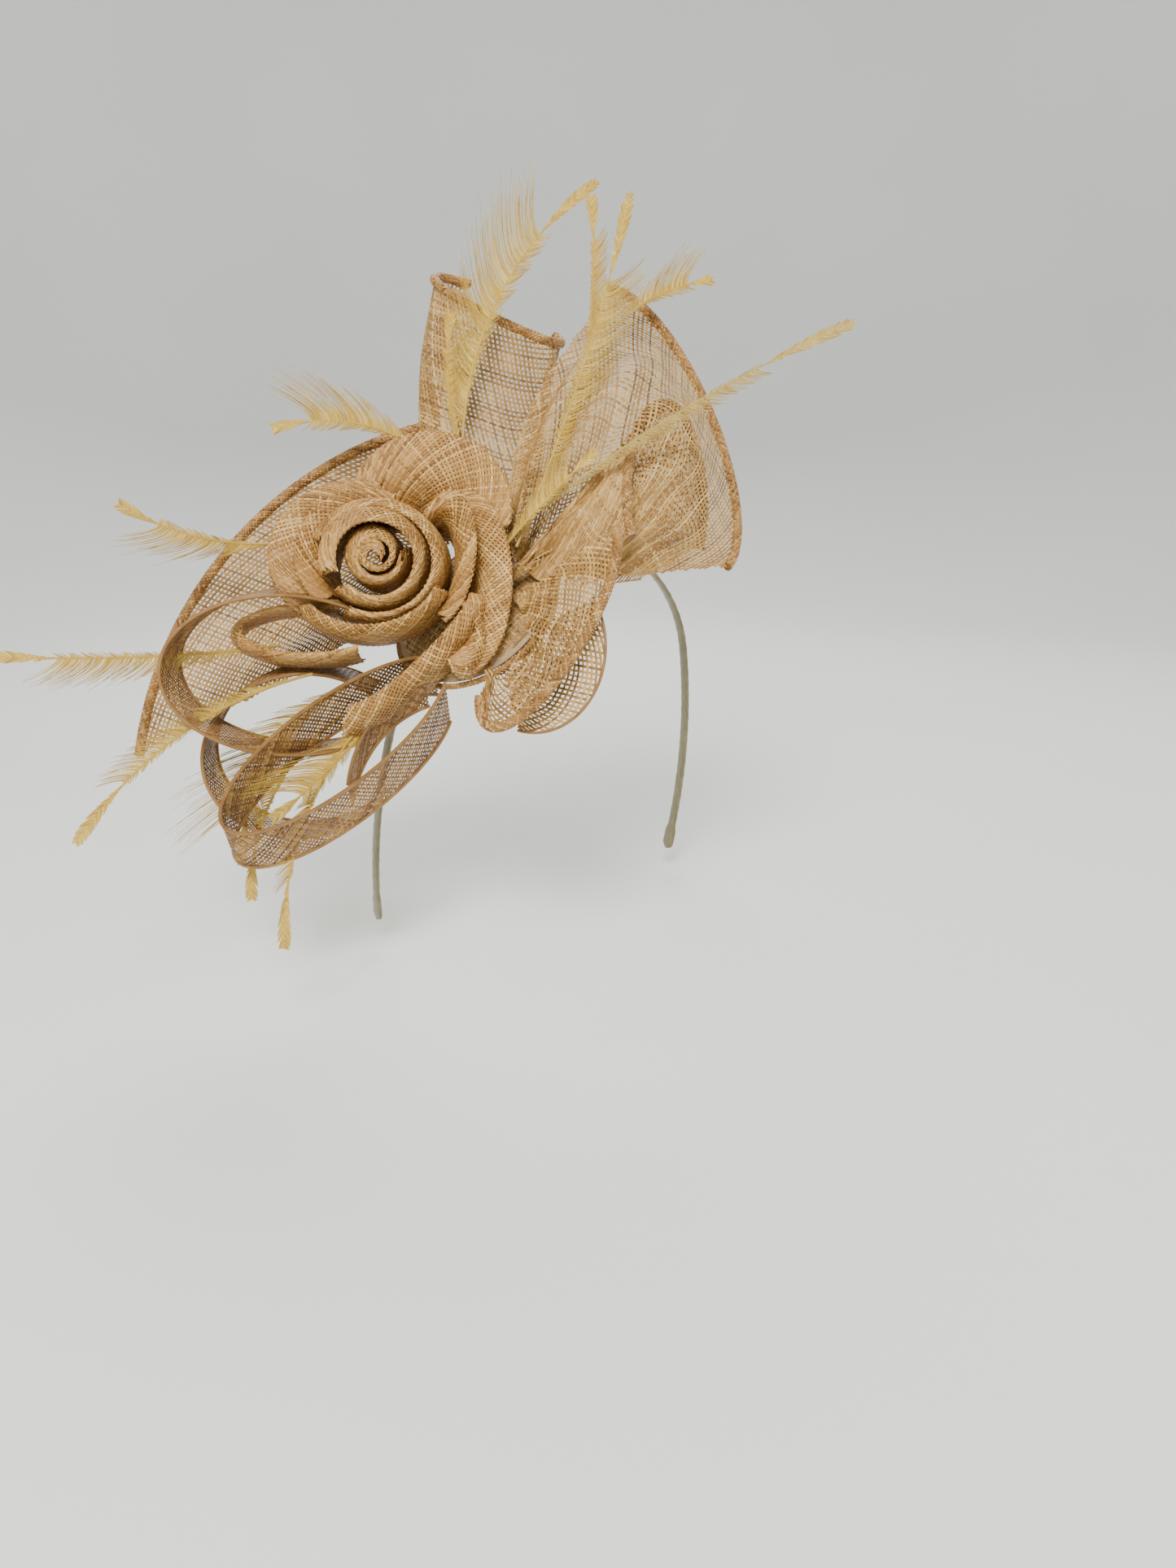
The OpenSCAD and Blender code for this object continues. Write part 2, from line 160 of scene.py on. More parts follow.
def sample(field, i, j):
    """Bilinear values of a grid field at fractional indices."""
    i0 = np.clip(np.floor(i).astype(int), 0, field.shape[0] - 2)
    j0 = np.clip(np.floor(j).astype(int), 0, field.shape[1] - 2)
    shape = i.shape + (1,) * (field.ndim - 2)
    a, b = (i - i0).reshape(shape), (j - j0).reshape(shape)
    return (
        field[i0, j0] * (1 - a) * (1 - b)
        + field[i0 + 1, j0] * a * (1 - b)
        + field[i0, j0 + 1] * (1 - a) * b
        + field[i0 + 1, j0 + 1] * a * b
    )


# ---- Meshes -----------------------------------------------------------------------------


class Build:
    """Collects quads and a tone for each point, and makes one mesh object of them."""

    def __init__(self):
        self.points, self.quads, self.tones, self.count = [], [], [], 0

    def add(self, points, quads, tone):
        points = np.asarray(points, float).reshape(-1, 3)
        self.points.append(points)
        self.quads.append(np.asarray(quads, int).reshape(-1, 4) + self.count)
        self.tones.append(np.broadcast_to(np.asarray(tone, float), (len(points),)))
        self.count += len(points)

    def rings(self, rings, tone):
        """Tubes through rings (tubes, steps, sides, 3), both ends closed by quads. sides is even."""
        tubes, steps, sides = rings.shape[:3]
        k = np.arange(tubes * steps * sides).reshape(tubes, steps, sides)
        a, b = k[:, :-1], k[:, 1:]
        a1, b1 = np.roll(a, -1, axis=2), np.roll(b, -1, axis=2)
        quads = [np.stack([a, a1, b1, b], axis=-1).reshape(-1, 4)]
        for end, flip in ((k[:, 0], 1), (k[:, -1], -1)):
            for s in range(sides // 2 - 1):
                fan = np.stack([end[:, s], end[:, -1 - s], end[:, -2 - s], end[:, s + 1]], -1)
                quads.append(fan[:, ::flip])
        shape = np.broadcast_to(np.asarray(tone, float).reshape(-1, 1, 1), (tubes, steps, sides))
        self.add(rings, np.concatenate(quads), shape.reshape(-1))

    def object(self, name, material, smooth=False):
        points, quads = np.concatenate(self.points), np.concatenate(self.quads)
        mesh = bpy.data.meshes.new(name)
        mesh.vertices.add(len(points))
        mesh.vertices.foreach_set("co", points.astype(np.float32).ravel())
        mesh.loops.add(len(quads) * 4)
        mesh.loops.foreach_set("vertex_index", quads.astype(np.int32).ravel())
        mesh.polygons.add(len(quads))
        mesh.polygons.foreach_set("loop_start", np.arange(0, len(quads) * 4, 4, dtype=np.int32))
        mesh.polygons.foreach_set("use_smooth", np.full(len(quads), smooth))
        tone = mesh.attributes.new("tone", "FLOAT", "POINT")
        tone.data.foreach_set("value", np.concatenate(self.tones).astype(np.float32))
        mesh.update(calc_edges=True)
        mesh.materials.append(material)
        obj = bpy.data.objects.new(name, mesh)
        bpy.context.scene.collection.objects.link(obj)
        return obj


# ---- Weave ------------------------------------------------------------------------------
THREAD_W, THREAD_T = 0.95, 0.26      # a flat straw-like thread, in mm
NEWTON_STEPS = 14
# The first guesses' grid, how many parts it is searched in, the longest step as a share of
# the grid, and how near a crossing must come to its place, as a share of the pitch.
COARSE, SEARCH_PARTS, STEP_SHARE, NEAR_ENOUGH = 28, 40, 8, 0.12
# Threads differ in width and tone, and lift over each other by a share of their thickness.
WIDTH_SPREAD, TONE_SPREAD, CROSSING_LIFT = 0.22, 0.24, 0.55
# A thread's flattened section: six points as shares of its half width and half thickness.
SECTION = np.array([(1, 0), (0.5, 1), (-0.5, 1), (-1, 0), (-0.5, -1), (0.5, -1)])


def flat_fields(grid):
    """Each point's place in the flat cloth: along from its middle, and back from the outer edge."""
    step_u = np.linalg.norm(np.diff(grid, axis=0), axis=2)
    step_v = np.linalg.norm(np.diff(grid, axis=1), axis=2)
    x = np.concatenate([np.zeros((1, grid.shape[1])), np.cumsum(step_u, axis=0)])
    y = np.concatenate([np.zeros((grid.shape[0], 1)), np.cumsum(step_v, axis=1)], axis=1)
    return x - x[len(x) // 2], y - y[:, -1:]


def lattice(grid, pitch, angle):
    """Where warp k crosses weft j on the cloth: points, normals and which of them are on it."""
    x, y = flat_fields(grid)
    c, s = math.cos(angle), math.sin(angle)
    f, g = c * x + s * y, -s * x + c * y
    k = np.arange(math.floor(f.min() / pitch), math.ceil(f.max() / pitch) + 1)
    j = np.arange(math.floor(g.min() / pitch), math.ceil(g.max() / pitch) + 1)
    want_f, want_g = np.meshgrid(k * pitch, j * pitch, indexing="ij")
    shape = want_f.shape
    want_f, want_g = want_f.ravel(), want_g.ravel()
    nu, nv = grid.shape[:2]
    # The nearest of a coarse set of grid points is the first guess.
    ci = np.linspace(0, nu - 1, COARSE).round().astype(int)
    cj = np.linspace(0, nv - 1, COARSE).round().astype(int)
    cf, cg = f[np.ix_(ci, cj)].ravel(), g[np.ix_(ci, cj)].ravel()
    near = np.concatenate([
        np.argmin((a[:, None] - cf) ** 2 + (b[:, None] - cg) ** 2, axis=1)
        for a, b in zip(np.array_split(want_f, SEARCH_PARTS), np.array_split(want_g, SEARCH_PARTS))
    ])
    i, jj = ci[near // len(cj)].astype(float), cj[near % len(cj)].astype(float)
    fu, fv, gu, gv = (np.gradient(h, axis=a) for h in (f, g) for a in (0, 1))
    for _ in range(NEWTON_STEPS):
        a, b = sample(fu, i, jj), sample(fv, i, jj)
        d, e = sample(gu, i, jj), sample(gv, i, jj)
        rf, rg = want_f - sample(f, i, jj), want_g - sample(g, i, jj)
        det = a * e - b * d
        det = np.where(np.abs(det) < 1e-12, 1e-12, det)
        step_i = np.clip((e * rf - b * rg) / det, -nu / STEP_SHARE, nu / STEP_SHARE)
        step_j = np.clip((a * rg - d * rf) / det, -nv / STEP_SHARE, nv / STEP_SHARE)
        i, jj = np.clip(i + step_i, 0, nu - 1), np.clip(jj + step_j, 0, nv - 1)
    error = np.hypot(want_f - sample(f, i, jj), want_g - sample(g, i, jj))
    points = sample(grid, i, jj).reshape(shape + (3,))
    facing = unit(sample(normals(grid), i, jj)).reshape(shape + (3,))
    return points, facing, (error < NEAR_ENOUGH * pitch).reshape(shape)


def family(build, points, facing, on, over, width, thick, rng):
    """One family of threads, along the last axis of the lattice."""
    pad = np.pad(on, ((0, 0), (1, 1)))
    before, after = pad[:, :-2], pad[:, 2:]
    keep = on & (before | after)
    ahead = np.where(after[..., None], np.roll(points, -1, axis=1), points)
    behind = np.where(before[..., None], np.roll(points, 1, axis=1), points)
    side = unit(np.cross(unit(ahead - behind), facing))
    wide = width * (1 + WIDTH_SPREAD * (rng.random(on.shape[0]) - 0.5))[:, None, None]
    centre = points + facing * (over * thick * CROSSING_LIFT)[..., None]
    ring = (
        centre[:, :, None]
        + side[:, :, None] * (SECTION[:, 0] * 0.5)[:, None] * wide[..., None]
        + facing[:, :, None] * (SECTION[:, 1] * thick * 0.5)[:, None]
    )
    sides = len(SECTION)
    index = np.cumsum(keep.ravel()).reshape(keep.shape) - 1
    tone = np.clip(0.5 + TONE_SPREAD * rng.standard_normal(on.shape[0]), 0, 1)[:, None]
    tone = np.broadcast_to(tone, keep.shape)[keep]
    join = keep[:, :-1] & keep[:, 1:]
    first = index[:, :-1][join][:, None] * sides + np.arange(sides)
    last = index[:, 1:][join][:, None] * sides + np.arange(sides)
    quads = [
        np.stack([first, np.roll(first, -1, 1), np.roll(last, -1, 1), last], -1).reshape(-1, 4)
    ]
    start = index[keep & ~before][:, None] * sides + np.arange(sides)
    stop = index[keep & ~after][:, None] * sides + np.arange(sides)
    for a, b, c, d in ((0, 1, 2, 3), (0, 3, 4, 5)):
        quads.append(start[:, [d, c, b, a]])
        quads.append(stop[:, [a, b, c, d]])
    build.add(ring[keep], np.concatenate(quads), np.repeat(tone, sides))


def weave(build, grid, pitch, angle, seed, width=THREAD_W, thick=THREAD_T, keep=None):
    """A plain weave of real threads. Lengths in mm, angle in degrees from the outer edge."""
    rng = np.random.default_rng(seed)
    points, facing, on = lattice(grid, pitch * MM, math.radians(angle))
    if keep is not None:
        on = on & keep(points)
    k, j = np.indices(on.shape)
    over = np.where((k + j) % 2 == 0, 1.0, -1.0)
    family(build, points, facing, on, over, width * MM, thick * MM, rng)
    turned = [np.swapaxes(a, 0, 1) for a in (points, facing, on, -over)]
    family(build, *turned, width * MM, thick * MM, rng)


def cord_along(build, path, radius, sides=6, tone=0.5):
    """A closed tube along a path (n, 3), with its radius in mm, a number or one for each point."""
    path = np.asarray(path, float)
    t = unit(np.gradient(path, axis=0))
    side = unit(np.cross(t[0], (0.3, 0.5, 0.8)))
    rings = []
    radius = np.broadcast_to(np.asarray(radius, float) * MM, (len(path),))
    angle = np.arange(sides) * 2 * math.pi / sides
    for p, d, r in zip(path, t, radius):
        side = unit(side - d * np.dot(side, d))
        up = np.cross(d, side)
        rings.append(p + r * (np.cos(angle)[:, None] * side + np.sin(angle)[:, None] * up))
    build.rings(np.array(rings)[None], tone)


# ---- Materials --------------------------------------------------------------------------


def nodes_of(name):
    material = bpy.data.materials.new(name)
    material.use_nodes = True
    tree = material.node_tree
    return material, tree, tree.nodes["Principled BSDF"]


def ramp(tree, stops):
    node = tree.nodes.new("ShaderNodeValToRGB")
    while len(node.color_ramp.elements) < len(stops):
        node.color_ramp.elements.new(0.5)
    for element, (at, colour) in zip(node.color_ramp.elements, stops):
        element.position = at
        element.color = (*colour, 1.0)
    return node


def noise(tree, scale, detail=3.0, stretch=None):
    coords = tree.nodes.new("ShaderNodeTexCoord")
    node = tree.nodes.new("ShaderNodeTexNoise")
    node.inputs["Scale"].default_value = scale
    node.inputs["Detail"].default_value = detail
    source = coords.outputs["Object"]
    if stretch:
        mapping = tree.nodes.new("ShaderNodeMapping")
        mapping.inputs["Scale"].default_value = stretch
        tree.links.new(source, mapping.inputs["Vector"])
        source = mapping.outputs["Vector"]
    tree.links.new(source, node.inputs["Vector"])
    return node


MOTTLE_SCALE, MOTTLE_SHARE, FIBRE_SCALE = 160.0, 0.55, 2600.0
# Keeps the mean tone at the middle of the colour ramp.
TONE_SHIFT = 0.27


def straw_material(name, stops, roughness=0.42, bump=0.25):
    """Threads whose tone varies from one to the next and along each, with fine fibres."""
    material, tree, shader = nodes_of(name)
    tone = tree.nodes.new("ShaderNodeAttribute")
    tone.attribute_name = "tone"
    mottle = noise(tree, MOTTLE_SCALE)
    add = tree.nodes.new("ShaderNodeMath")
    add.operation = "MULTIPLY_ADD"
    add.inputs[1].default_value = MOTTLE_SHARE
    tree.links.new(mottle.outputs["Fac"], add.inputs[0])
    shift = tree.nodes.new("ShaderNodeMath")
    shift.operation = "SUBTRACT"
    shift.inputs[1].default_value = TONE_SHIFT
    tree.links.new(tone.outputs["Fac"], shift.inputs[0])
    tree.links.new(shift.outputs[0], add.inputs[2])
    colours = ramp(tree, stops)
    tree.links.new(add.outputs[0], colours.inputs["Fac"])
    tree.links.new(colours.outputs["Color"], shader.inputs["Base Color"])
    fibres = noise(tree, FIBRE_SCALE, 2.0)
    dent = tree.nodes.new("ShaderNodeBump")
    dent.inputs["Strength"].default_value = bump
    dent.inputs["Distance"].default_value = 0.0001
    tree.links.new(fibres.outputs["Fac"], dent.inputs["Height"])
    tree.links.new(dent.outputs["Normal"], shader.inputs["Normal"])
    shader.inputs["Roughness"].default_value = roughness
    shader.inputs["Specular IOR Level"].default_value = 0.35
    return material


straw = straw_material(
    "sinamay_straw",
    [(0.0, (0.19, 0.085, 0.016)), (0.5, (0.40, 0.215, 0.052)), (1.0, (0.66, 0.43, 0.15))],
)
petal_straw = straw_material(
    "petal_straw",
    [(0.0, (0.22, 0.095, 0.020)), (0.5, (0.44, 0.225, 0.058)), (1.0, (0.72, 0.46, 0.165))],
)
strip_straw = straw_material(
    "strip_straw",
    [(0.0, (0.10, 0.042, 0.010)), (0.5, (0.22, 0.105, 0.027)), (1.0, (0.45, 0.26, 0.085))],
)
hem_straw = straw_material(
    "hem_straw",
    [(0.0, (0.16, 0.065, 0.014)), (0.5, (0.35, 0.175, 0.045)), (1.0, (0.60, 0.36, 0.125))],
)
feather_cream = straw_material(
    "feather_cream", [(0.0, (0.34, 0.20, 0.025)), (0.5, (0.54, 0.35, 0.055)), (1.0, (0.74, 0.54, 0.15))],
    roughness=0.5, bump=0.1,
)
feather_gold = straw_material(
    "feather_gold", [(0.0, (0.30, 0.20, 0.045)), (0.5, (0.48, 0.34, 0.09)), (1.0, (0.62, 0.47, 0.16))],
    roughness=0.45, bump=0.1,
)


def satin_material():
    material, tree, shader = nodes_of("olive_satin")
    streaks = noise(tree, 900.0, 2.0, stretch=(0.15, 1.0, 0.15))
    colours = ramp(tree, [(0.3, (0.125, 0.105, 0.045)), (0.7, (0.22, 0.185, 0.085))])
    tree.links.new(streaks.outputs["Fac"], colours.inputs["Fac"])
    tree.links.new(colours.outputs["Color"], shader.inputs["Base Color"])
    dent = tree.nodes.new("ShaderNodeBump")
    dent.inputs["Strength"].default_value = 0.2
    dent.inputs["Distance"].default_value = 0.0001
    tree.links.new(streaks.outputs["Fac"], dent.inputs["Height"])
    tree.links.new(dent.outputs["Normal"], shader.inputs["Normal"])
    shader.inputs["Roughness"].default_value = 0.38
    shader.inputs["Anisotropic"].default_value = 0.4
    shader.inputs["Sheen Weight"].default_value = 0.4
    return material


def felt_material(name, dark, light):
    material, tree, shader = nodes_of(name)
    fuzz = noise(tree, 1500.0, 5.0)
    colours = ramp(tree, [(0.35, dark), (0.65, light)])
    tree.links.new(fuzz.outputs["Fac"], colours.inputs["Fac"])
    tree.links.new(colours.outputs["Color"], shader.inputs["Base Color"])
    dent = tree.nodes.new("ShaderNodeBump")
    dent.inputs["Strength"].default_value = 0.6
    dent.inputs["Distance"].default_value = 0.0003
    tree.links.new(fuzz.outputs["Fac"], dent.inputs["Height"])
    tree.links.new(dent.outputs["Normal"], shader.inputs["Normal"])
    shader.inputs["Roughness"].default_value = 0.9
    shader.inputs["Sheen Weight"].default_value = 0.3
    return material


satin = satin_material()
felt = felt_material("olive_felt", (0.16, 0.13, 0.06), (0.25, 0.21, 0.11))
base_cloth = felt_material("base_cloth", (0.30, 0.20, 0.09), (0.46, 0.32, 0.16))


def stage_material():
    material, tree, shader = nodes_of("pale_floor")
    grain = noise(tree, 3.0, 2.0)
    colours = ramp(tree, [(0.2, (0.82, 0.83, 0.80)), (0.8, (0.87, 0.88, 0.85))])
    tree.links.new(grain.outputs["Fac"], colours.inputs["Fac"])
    tree.links.new(colours.outputs["Color"], shader.inputs["Base Color"])
    shader.inputs["Roughness"].default_value = 0.85
    return material


def make_stage():
    """A pale floor that curves up into a round backdrop, the same from every side."""
    floor_z = cad_box[0][2] - 0.012
    flat_r, curve_r, wall_h, turns = 1.1, 0.9, 1.2, 96
    profile = [(0.0001, 0.0), (0.5 * flat_r, 0.0), (flat_r, 0.0)]
    for step in range(1, 13):
        a = math.radians(step * 90 / 12)
        profile.append((flat_r + curve_r * math.sin(a), curve_r * (1 - math.cos(a))))
    profile.append((flat_r + curve_r, curve_r + wall_h))
    points, quads = [], []
    for turn in range(turns):
        a = 2 * math.pi * turn / turns
        points += [(r * math.cos(a), r * math.sin(a), floor_z + z) for r, z in profile]
        for k in range(len(profile) - 1):
            here, there = turn * len(profile) + k, (turn + 1) % turns * len(profile) + k
            quads.append((here, here + 1, there + 1, there))
    build = Build()
    build.add(points, quads, 0.5)
    build.object("backdrop", stage_material(), smooth=True)


make_stage()
world = bpy.data.worlds.new("room")
world.use_nodes = True
world.node_tree.nodes["Background"].inputs["Color"].default_value = (0.93, 0.96, 1.0, 1.0)
world.node_tree.nodes["Background"].inputs["Strength"].default_value = 0.36
bpy.context.scene.world = world

# ---- Driving dimensions, in millimetres and degrees, as part.scad states them --------------
BAND_INNER_R, BAND_T, BAND_W, BAND_LEAN = 79.0, 2.0, 5.5, 10.0
ARM_R, ARM_LEN, PIVOT_FROM_TOP = 300.0, 104.0, 75.0
TIP_W, TIP_LEN, TIP_LAP = 8.0, 14.0, 3.0
BASE_R, BASE_T, BASE_CLEAR, BASE_SIDE, BASE_FORWARD = 35.0, 1.5, 0.4, 43.0, 8.0
BINDING_LIFT, BINDING_PAST, BINDING_R = 0.2, 1.3, 1.2
HEM_R, PETAL_T, PETAL_FOOT = 2.0, 2.0, 0.5
FACE_TURN, FACE_TILT = 35.0, 16.0
VANE_PEAK = 1.3
BASE_INNER_R = BAND_INNER_R + BAND_T + BASE_CLEAR


def about_x(angle, v):
    a = math.radians(angle)
    x, y, z = np.moveaxis(np.asarray(v, float), -1, 0)
    return np.stack([x, math.cos(a) * y - math.sin(a) * z, math.sin(a) * y + math.cos(a) * z], -1)


def about_y(angle, v):
    a = math.radians(angle)
    x, y, z = np.moveaxis(np.asarray(v, float), -1, 0)
    return np.stack([math.cos(a) * x + math.sin(a) * z, y, math.cos(a) * z - math.sin(a) * x], -1)


def on_base(v):
    """A place given about the dome's own axis, in the frame, in millimetres."""
    turned = about_y(-BASE_SIDE, about_x(BASE_FORWARD, v))
    return about_x(BAND_LEAN, turned + np.array([0.0, 0.0, -BAND_INNER_R]))


ACROSS, UP, FACE = (np.array(v) for v in view_axes(math.radians(-FACE_TURN), math.radians(FACE_TILT)))
SEAT = on_base([0.0, 0.0, BASE_INNER_R + BASE_T])


def place(p):
    """Distances across, up and out from the seat, as a place in the frame in metres."""
    p = np.asarray(p, float)
    return (SEAT + p[..., :1] * ACROSS + p[..., 1:2] * UP + p[..., 2:3] * FACE) * MM


# An arc is (centre, radii, angles from and to, turn, nod, slant, swell), as in part.scad.
CLOTH = {
    "brim": [
        ((-22, -2, -10), (10, 9), (60, 200), 0, 0, 4, 0),
        ((10, -40, -24), (95, 85), (100, 176), 0, 0, 8, -4),
        ((15, -70, -16), (153, 153), (103, 178), 0, 0, 16, -8),
    ],
    "lobe_left": [
        ((10, 16, -4), (12, 7), (200, -20), 0, 90, 0, 0),
        ((6, 52, -18), (24, 14), (215, -30), 0, 90, 0, 4),
        ((6, 104, -34), (29, 20), (225, -35), -8, 100, 8, 8),
        ((12, 136, -36), (31, 20), (230, -35), -26, 112, 4, 4),
    ],
    "lobe_right": [
        ((22, 8, -4), (10, 8), (160, -20), 0, 20, 0, 0),
        ((48, 46, -6), (36, 42), (145, -46), -15, 0, 8, 10),
        ((82, 80, -33), (25, 70), (80, -80), 22, 0, 16, -4),
    ],
    "fold_right": [
        ((24, 2, 10), (8, 8), (10, 190), 0, 20, 0, 0),
        ((56, 14, 4), (16, 30), (-10, 195), 0, 0, 20, 2),
        ((84, 40, -4), (17, 42), (-20, 205), 0, 0, 40, 0),
    ],
    "lobe_lower": [
        ((16, -10, 12), (8, 10), (60, -115), 0, 20, 0, 0),
        ((36, -13, 25), (15, 47), (78, -125), -30, 0, 10, 4),
    ],
    "lobe_under": [
        ((16, -18, 10), (8, 9), (20, -100), 0, 20, 0, 0),
        ((30, -22, 22), (28, 34), (35, -104), 0, 0, 0, 2),
    ],
}
# Strips: the near edge, the width and how far the far edge is raised.
LOOPS = {
    "loop_upper": (((-66, -34, 12), (46, 31), (35, 312), 0, 0, -4, 26), 22, 6),
    "loop_back": (((-64, -65, 2), (38, 33), (38, 312), 10, 0, 0, 18), 18, 6),
    "loop_lower": (((-46, -60, 18), (52, 18), (20, 335), 38, 0, 20, 22), 16, -14),
    "loop_inner": (((0, -84, 17), (46, 50), (106, 172), 0, 0, -8, 0), 9, -9),
}
ROSE_DEPTH, LAYER_STEP = 62.0, 4.0


def dome_out(a, b):
    """How far out the dome's face is under a place across and up."""
    n = np.array([ACROSS, UP, FACE]) @ (SEAT - on_base([0.0, 0.0, 0.0]))
    return np.sqrt(np.maximum(0, n[2] ** 2 - a**2 - b**2 - 2 * (n[0] * a + n[1] * b))) - n[2]


ROSE_ROOT = np.array([-25.0, 5.0, dome_out(-25.0, 5.0)])
HEART = np.array([-31.0, 13.0, ROSE_ROOT[2] + ROSE_DEPTH])
HEART_R, HEART_START_R, HEART_TURNS, HEART_START_ANGLE, HEART_SPREAD = 10.0, 2.0, 2.2, -60.0, 1.5
# Arcs with a layer in place of the centre's distance out, then the foot's share of the rim.
PETALS = {
    "petal_coil_inner": ((-32, 12, 1), (16, 15), (200, -140), 0, 8, -4, 2, 1.4),
    "petal_coil_outer": ((-32, 12, 2), (23, 21), (160, -120), 0, 5, 0, 2, 1.2),
    "petal_left_inner": ((-36, 14, 3), (28, 25), (225, 65), 0, 0, 2, 1, 0.7),
    "petal_left_outer": ((-40, 14, 4), (35, 30), (230, 75), 0, 0, -2, 2, 0.6),
    "petal_top": ((-12, 35, 5), (32, 29), (160, -15), 0, 0, 0, 2, 0.5),
    "petal_roll": ((-6, 13, 3), (12, 26), (150, -70), -8, 0, 2, 2, 0.7),
    "petal_right": ((2, 4, 4), (18, 36), (100, -105), 0, 0, 4, 2, 0.6),
    "petal_bud": ((0, -18, 3), (8, 13), (130, -110), 0, 0, 0, 1, 1.1),
    "petal_front": ((-36, 10, 2), (30, 25), (218, 338), 0, 0, 4, 2, 1.2),
    "petal_fold": ((-60, -15, 4), (28, 10), (65, 315), 0, 0, 6, 0, 1.1),
    "petal_bottom": ((-20, -22, 3), (33, 7), (182, 350), 43, 0, 2, 3, 1.3),
}
# Feathers: foot, heading, length, bend, lift towards the tip, vane width and its side.
FEATHERS = [
    ((-78, 24, -4), 190, 60, -42, 22, 12, -1),
    ((-18, 62, 0), 146, 66, 50, -6, 18, 1),
    ((-74, -20, 8), 190, 108, -12, 32, 10, -1),
    ((-60, -32, 12), 196, 110, 46, 28, 8, 1),
    ((-46, -36, 8), 208, 90, 62, 0, 22, 1),
    ((-50, -48, 2), 216, 86, 60, 14, 5, 1),
    ((-36, -48, 12), 228, 100, 48, 20, 5, 1),
    ((-36, -50, 10), 236, 54, -16, 18, 18, 1),
    ((0, 58, 6), 92, 142, -52, -26, 22, -1),
    ((-2, 60, 0), 104, 60, -20, -4, 10, 1),
    ((22, 20, 8), 68, 162, 10, -20, 14, 1),
    ((50, 100, -14), 82, 76, 12, -4, 6, 1),
    ((66, 126, -24), 42, 46, -28, -12, 14, -1),
    ((18, 24, 8), 39, 160, -18, 20, 5, 1),
    ((16, 18, 10), 50, 54, -10, 6, 9, -1),
]


def on_arc(arc, s):
    """Places on an arc at each s from 0 to 1, as across, up and out."""
    centre, radii, (start, stop), turn, nod, slant, swell = arc
    s = np.asarray(s, float)
    angle = np.radians(start + (stop - start) * s)
    out = slant * (s - 0.5) + swell * np.sin(np.pi * s)
    turn, nod = math.radians(turn), math.radians(nod)
    x, rise = radii[0] * np.cos(angle), radii[1] * np.sin(angle)
    y = rise * math.cos(nod) - out * math.sin(nod)
    z = rise * math.sin(nod) + out * math.cos(nod)
    c, k = math.cos(turn), math.sin(turn)
    return np.array(centre, float) + np.stack([x * c - y * k, x * k + y * c, z], -1)


def cloth_grid(arcs, nu, nv):
    rails = np.array([place(on_arc(arc, np.linspace(0, 1, nu))) for arc in arcs])
    return np.swapaxes(along(rails, np.linspace(0, 1, nv)), 0, 1)


def strip_grid(shape, nu, nv):
    arc, width, rise = shape
    near = on_arc(arc, np.linspace(0, 1, nu))[:, None]
    return place(near + np.linspace(0, 1, nv)[None, :, None] * np.array([0.0, rise, -width]))


def heart_rim(steps):
    share = np.linspace(0, 1, steps)
    turn = np.radians(HEART_START_ANGLE + 360 * HEART_TURNS * share)
    r = HEART_START_R + (HEART_R - HEART_START_R) * share
    return HEART + np.stack([r * np.cos(turn), r * np.sin(turn), -LAYER_STEP * share], -1)


FOLD_R, FOOT_GAP, FOLD_STEPS = 1.0, 0.35, 5


def petal_rim(row, steps):
    across, up, layer = row[0]
    arc = ((across, up, HEART[2] - layer * LAYER_STEP), *row[1:7])
    return on_arc(arc, np.linspace(0, 1, steps))


def petal_grid(rim, spread, nv):
    """A strip folded double: up the outside of the petal's wall, round its rim and down the inside."""
    deep = np.linspace(1, 0, nv)[None, :]
    # The square root turns the cloth over sooner below its rim than the CAD's coarse wall.
    share = 1 + (spread - 1) * np.sin(0.5 * math.pi * np.sqrt(deep))
    shares = np.stack([share, share, 1 - (1 - PETAL_FOOT) * deep], -1)
    wall = ROSE_ROOT + shares * (rim[:, None] - ROSE_ROOT)
    wall[..., 2] = np.maximum(wall[..., 2], dome_out(wall[..., 0], wall[..., 1]) + PETAL_T)
    wall = place(wall)
    n = normals(wall)
    gap = (FOOT_GAP + (FOLD_R - FOOT_GAP) * np.linspace(0, 1, nv) ** 2)[None, :, None] * MM
    outside, inside = wall + n * gap, wall - n * gap
    ahead = unit(wall[:, -1] - wall[:, -2])[:, None]
    turn = np.linspace(0, math.pi, FOLD_STEPS + 2)[1:-1][None, :, None]
    fold = wall[:, -1:] + FOLD_R * MM * (np.cos(turn) * n[:, -1:] + np.sin(turn) * ahead)
    return np.concatenate([outside, fold, inside[:, ::-1]], axis=1)


def tube_grid(path, radius, around, seam):
    """A tube's surface about a path, its seam on the side that the seam vectors point to."""
    t = unit(np.gradient(path, axis=0))
    first = unit(seam - t * np.sum(seam * t, axis=1, keepdims=True))
    second = np.cross(t, first)
    a = np.linspace(0, 2 * math.pi, around)[None, :, None]
    return path[:, None] + radius * MM * (np.cos(a) * first[:, None] + np.sin(a) * second[:, None])


# ---- Pieces -----------------------------------------------------------------------------
PITCH, STRIP_PITCH, PETAL_PITCH = 2.1, 1.6, 1.6
HEM_PITCH = 1.15
GRID = 150
STRIP_EDGE_R, UNDER_EDGE_R = 0.75, 0.6


def settle(grid, node):
    """Moves a grid so that its middle is the CAD node's."""
    low, high = (np.array(c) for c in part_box(node))
    flat = grid.reshape(-1, 3)
    return grid + (low + high - flat.min(axis=0) - flat.max(axis=0)) / 2


def finish_piece(build, node, material):
    piece = build.object(node + "_cloth", material)
    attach(piece, "root")
    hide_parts(node)
    return piece


